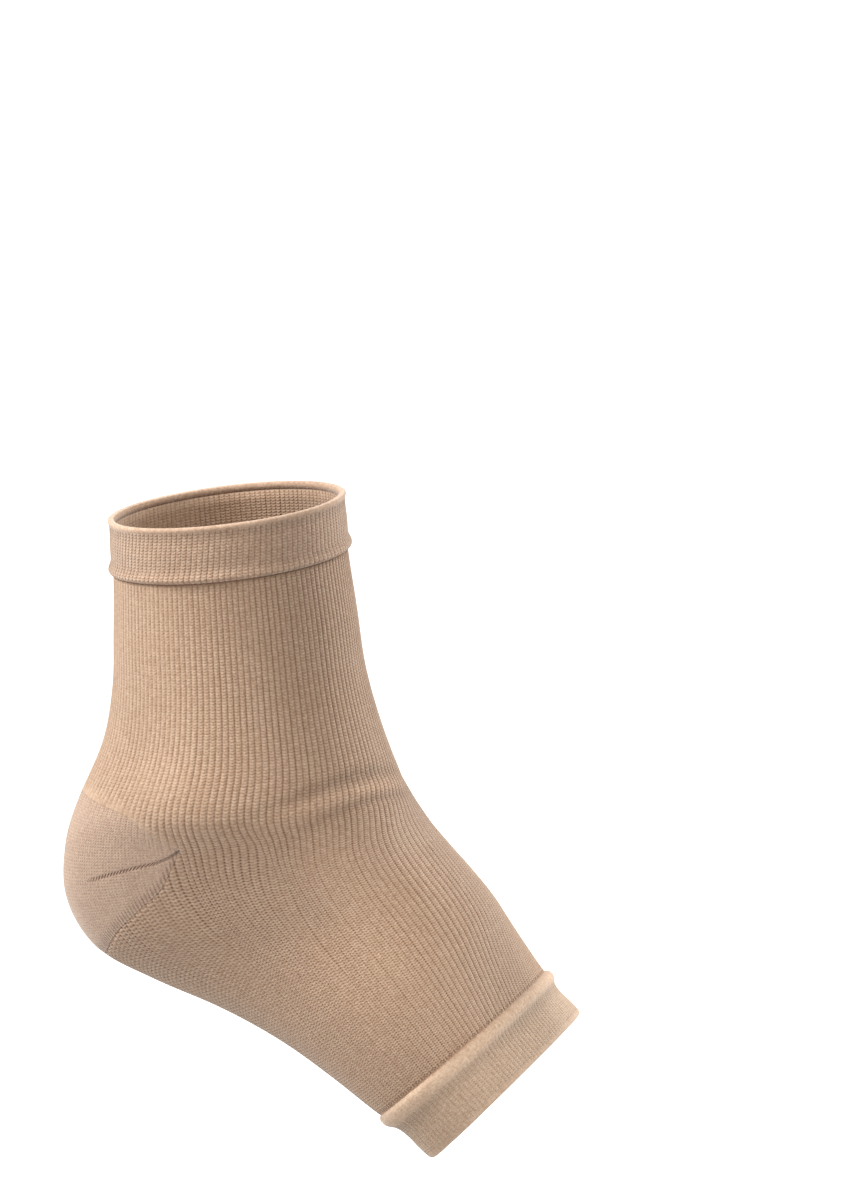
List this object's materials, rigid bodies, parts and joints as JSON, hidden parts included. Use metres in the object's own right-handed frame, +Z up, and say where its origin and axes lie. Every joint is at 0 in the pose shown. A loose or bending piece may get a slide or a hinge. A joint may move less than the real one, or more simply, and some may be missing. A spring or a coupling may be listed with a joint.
{
  "type": "open-toe compression ankle sleeve",
  "caption": "Beige knitted ankle support sleeve, open at the toes, with ribbed turned-over cuffs and a shaped heel pocket, in its worn form.",
  "frame": {"origin": "the ankle centre, on the axis of the leg, where the sleeve is held by the ankle that wears it", "axes": "+Z up the leg through the leg opening, +X towards the toes, +Y to the inner side of a right foot"},
  "size_m": [0.1617, 0.1014, 0.2197],
  "materials": {
    "sleeve_knit": "matt ribbed knit",
    "heel_knit": "matt fine plain knit",
    "cuff_knit": "matt doubled rib knit"
  },
  "bodies": {
    "root": {"sleeve": "sleeve_knit", "heel_pocket": "heel_knit", "top_cuff": "cuff_knit", "foot_cuff": "cuff_knit"}
  },
  "joints": []
}
